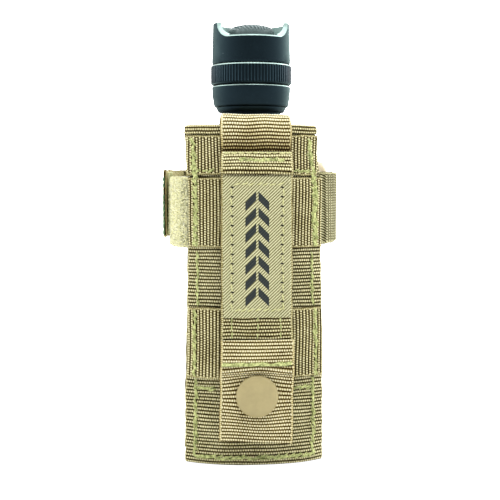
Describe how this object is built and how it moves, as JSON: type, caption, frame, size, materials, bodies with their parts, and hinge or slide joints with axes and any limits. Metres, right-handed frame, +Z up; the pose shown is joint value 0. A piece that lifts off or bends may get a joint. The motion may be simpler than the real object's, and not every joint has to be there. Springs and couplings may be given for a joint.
{
  "type": "tactical flashlight",
  "caption": "Tactical flashlight with a tail switch and selector ring, stowed head down in a webbing pouch with a snap strap and an elastic cinch band.",
  "frame": {"origin": "underside of the pouch's base panel, on the axis of the light", "axes": "+Z up along the light towards its tail switch; -Y out of the side that carries the attachment strap; +X to the right of that side"},
  "size_m": [0.0654, 0.0477, 0.1603],
  "materials": {
    "webbing": "ribbed nylon webbing, matt",
    "panel_cloth": "ribbed nylon webbing, matt",
    "elastic": "woven elastic, matt",
    "loop_pile": "loop pile, matt",
    "hook_tape": "hook tape, matt",
    "label_twill": "printed twill, matt",
    "snap_resin": "satin",
    "snap_brass": "satin",
    "anodised": "satin black anodised",
    "rubber": "matt",
    "steel": "bright",
    "brass": "bright",
    "mirror": "polished",
    "glass": "coated",
    "circuit": "solder mask",
    "emitter": "phosphor",
    "cell_wrap": "shrink wrap",
    "stiffener": "sheet",
    "switch_plastic": "moulded"
  },
  "bodies": {
    "pouch": {"near_panel": "panel_cloth", "far_panel": "panel_cloth", "left_gusset": "panel_cloth", "right_gusset": "panel_cloth", "base_panel": "panel_cloth", "near_rim_band": "webbing", "far_rim_band": "webbing", "upper_strip": "webbing", "middle_strip": "webbing", "lower_strip": "webbing", "top_loop": "webbing", "strap_anchor": "webbing", "elastic_band": "elastic", "loop_tape": "loop_pile", "snap_stud": "snap_brass", "snap_post": "snap_brass", "side_snap_cap": "snap_resin", "side_snap_washer": "snap_brass"},
    "strap": {"strap_back": "webbing", "strap_stiffener": "stiffener", "strap_front": "webbing", "label_patch": "label_twill", "snap_tab_root": "webbing"},
    "tab": {"snap_tab": "webbing", "snap_cap": "snap_resin", "snap_socket": "snap_brass"},
    "cinch": {"cinch_tab": "webbing", "hook_tape": "hook_tape"},
    "light": {"body_tube": "anodised", "head_shell": "anodised", "bezel_ring": "anodised", "lens": "glass", "lens_seal": "rubber", "reflector": "mirror", "led_emitter": "emitter", "led_board": "circuit", "heat_sink": "brass", "driver_board": "circuit", "head_spring": "steel", "front_cell": "cell_wrap", "rear_cell": "cell_wrap", "head_o_ring": "rubber", "tail_o_ring": "rubber"},
    "tail_contact": {"tail_spring": "steel"},
    "tail_cap": {"tail_skirt": "anodised", "tail_crown": "anodised", "switch_module": "switch_plastic", "boot_retainer": "steel", "switch_boot": "rubber"},
    "selector": {"selector_ring": "anodised"},
    "button": {"switch_plunger": "switch_plastic"}
  },
  "joints": [
    {"name": "light_draw", "type": "slide", "parent": "pouch", "child": "light", "axis": [0, 0, 1], "range_m": [0, 0.125]},
    {"name": "tail_rise", "type": "slide", "parent": "light", "child": "tail_contact", "axis": [0, 0, 1], "range_m": [0, 0.00625]},
    {"name": "tail_turn", "type": "hinge", "parent": "tail_contact", "child": "tail_cap", "pos_m": [0, 0, 0.14], "axis": [0, 0, 1], "range_deg": [0, 1800.1]},
    {"name": "selector_turn", "type": "hinge", "parent": "tail_cap", "child": "selector", "pos_m": [0, 0, 0.1413], "axis": [0, 0, 1], "range_deg": [0, 90]},
    {"name": "switch_press", "type": "slide", "parent": "tail_cap", "child": "button", "axis": [0, 0, -1], "range_m": [0, 0.0018], "stiffness_N_per_m": 1500, "deforming": ["switch_boot"]},
    {"name": "strap_lift", "type": "hinge", "parent": "pouch", "child": "strap", "pos_m": [0, -0.0247, 0.107], "axis": [-1, 0, 0], "range_deg": [0, 120]},
    {"name": "tab_peel", "type": "hinge", "parent": "strap", "child": "tab", "pos_m": [0, -0.0263, 0.0376], "axis": [-1, 0, 0], "range_deg": [0, 110]},
    {"name": "cinch_peel", "type": "hinge", "parent": "pouch", "child": "cinch", "pos_m": [-0.0249, 0.01725, 0.0942], "axis": [0, 0, -1], "range_deg": [0, 110]}
  ],
  "couplings": [
    {"joint": "tail_turn", "follows": "tail_rise", "rad_per_m": 5026.5}
  ]
}
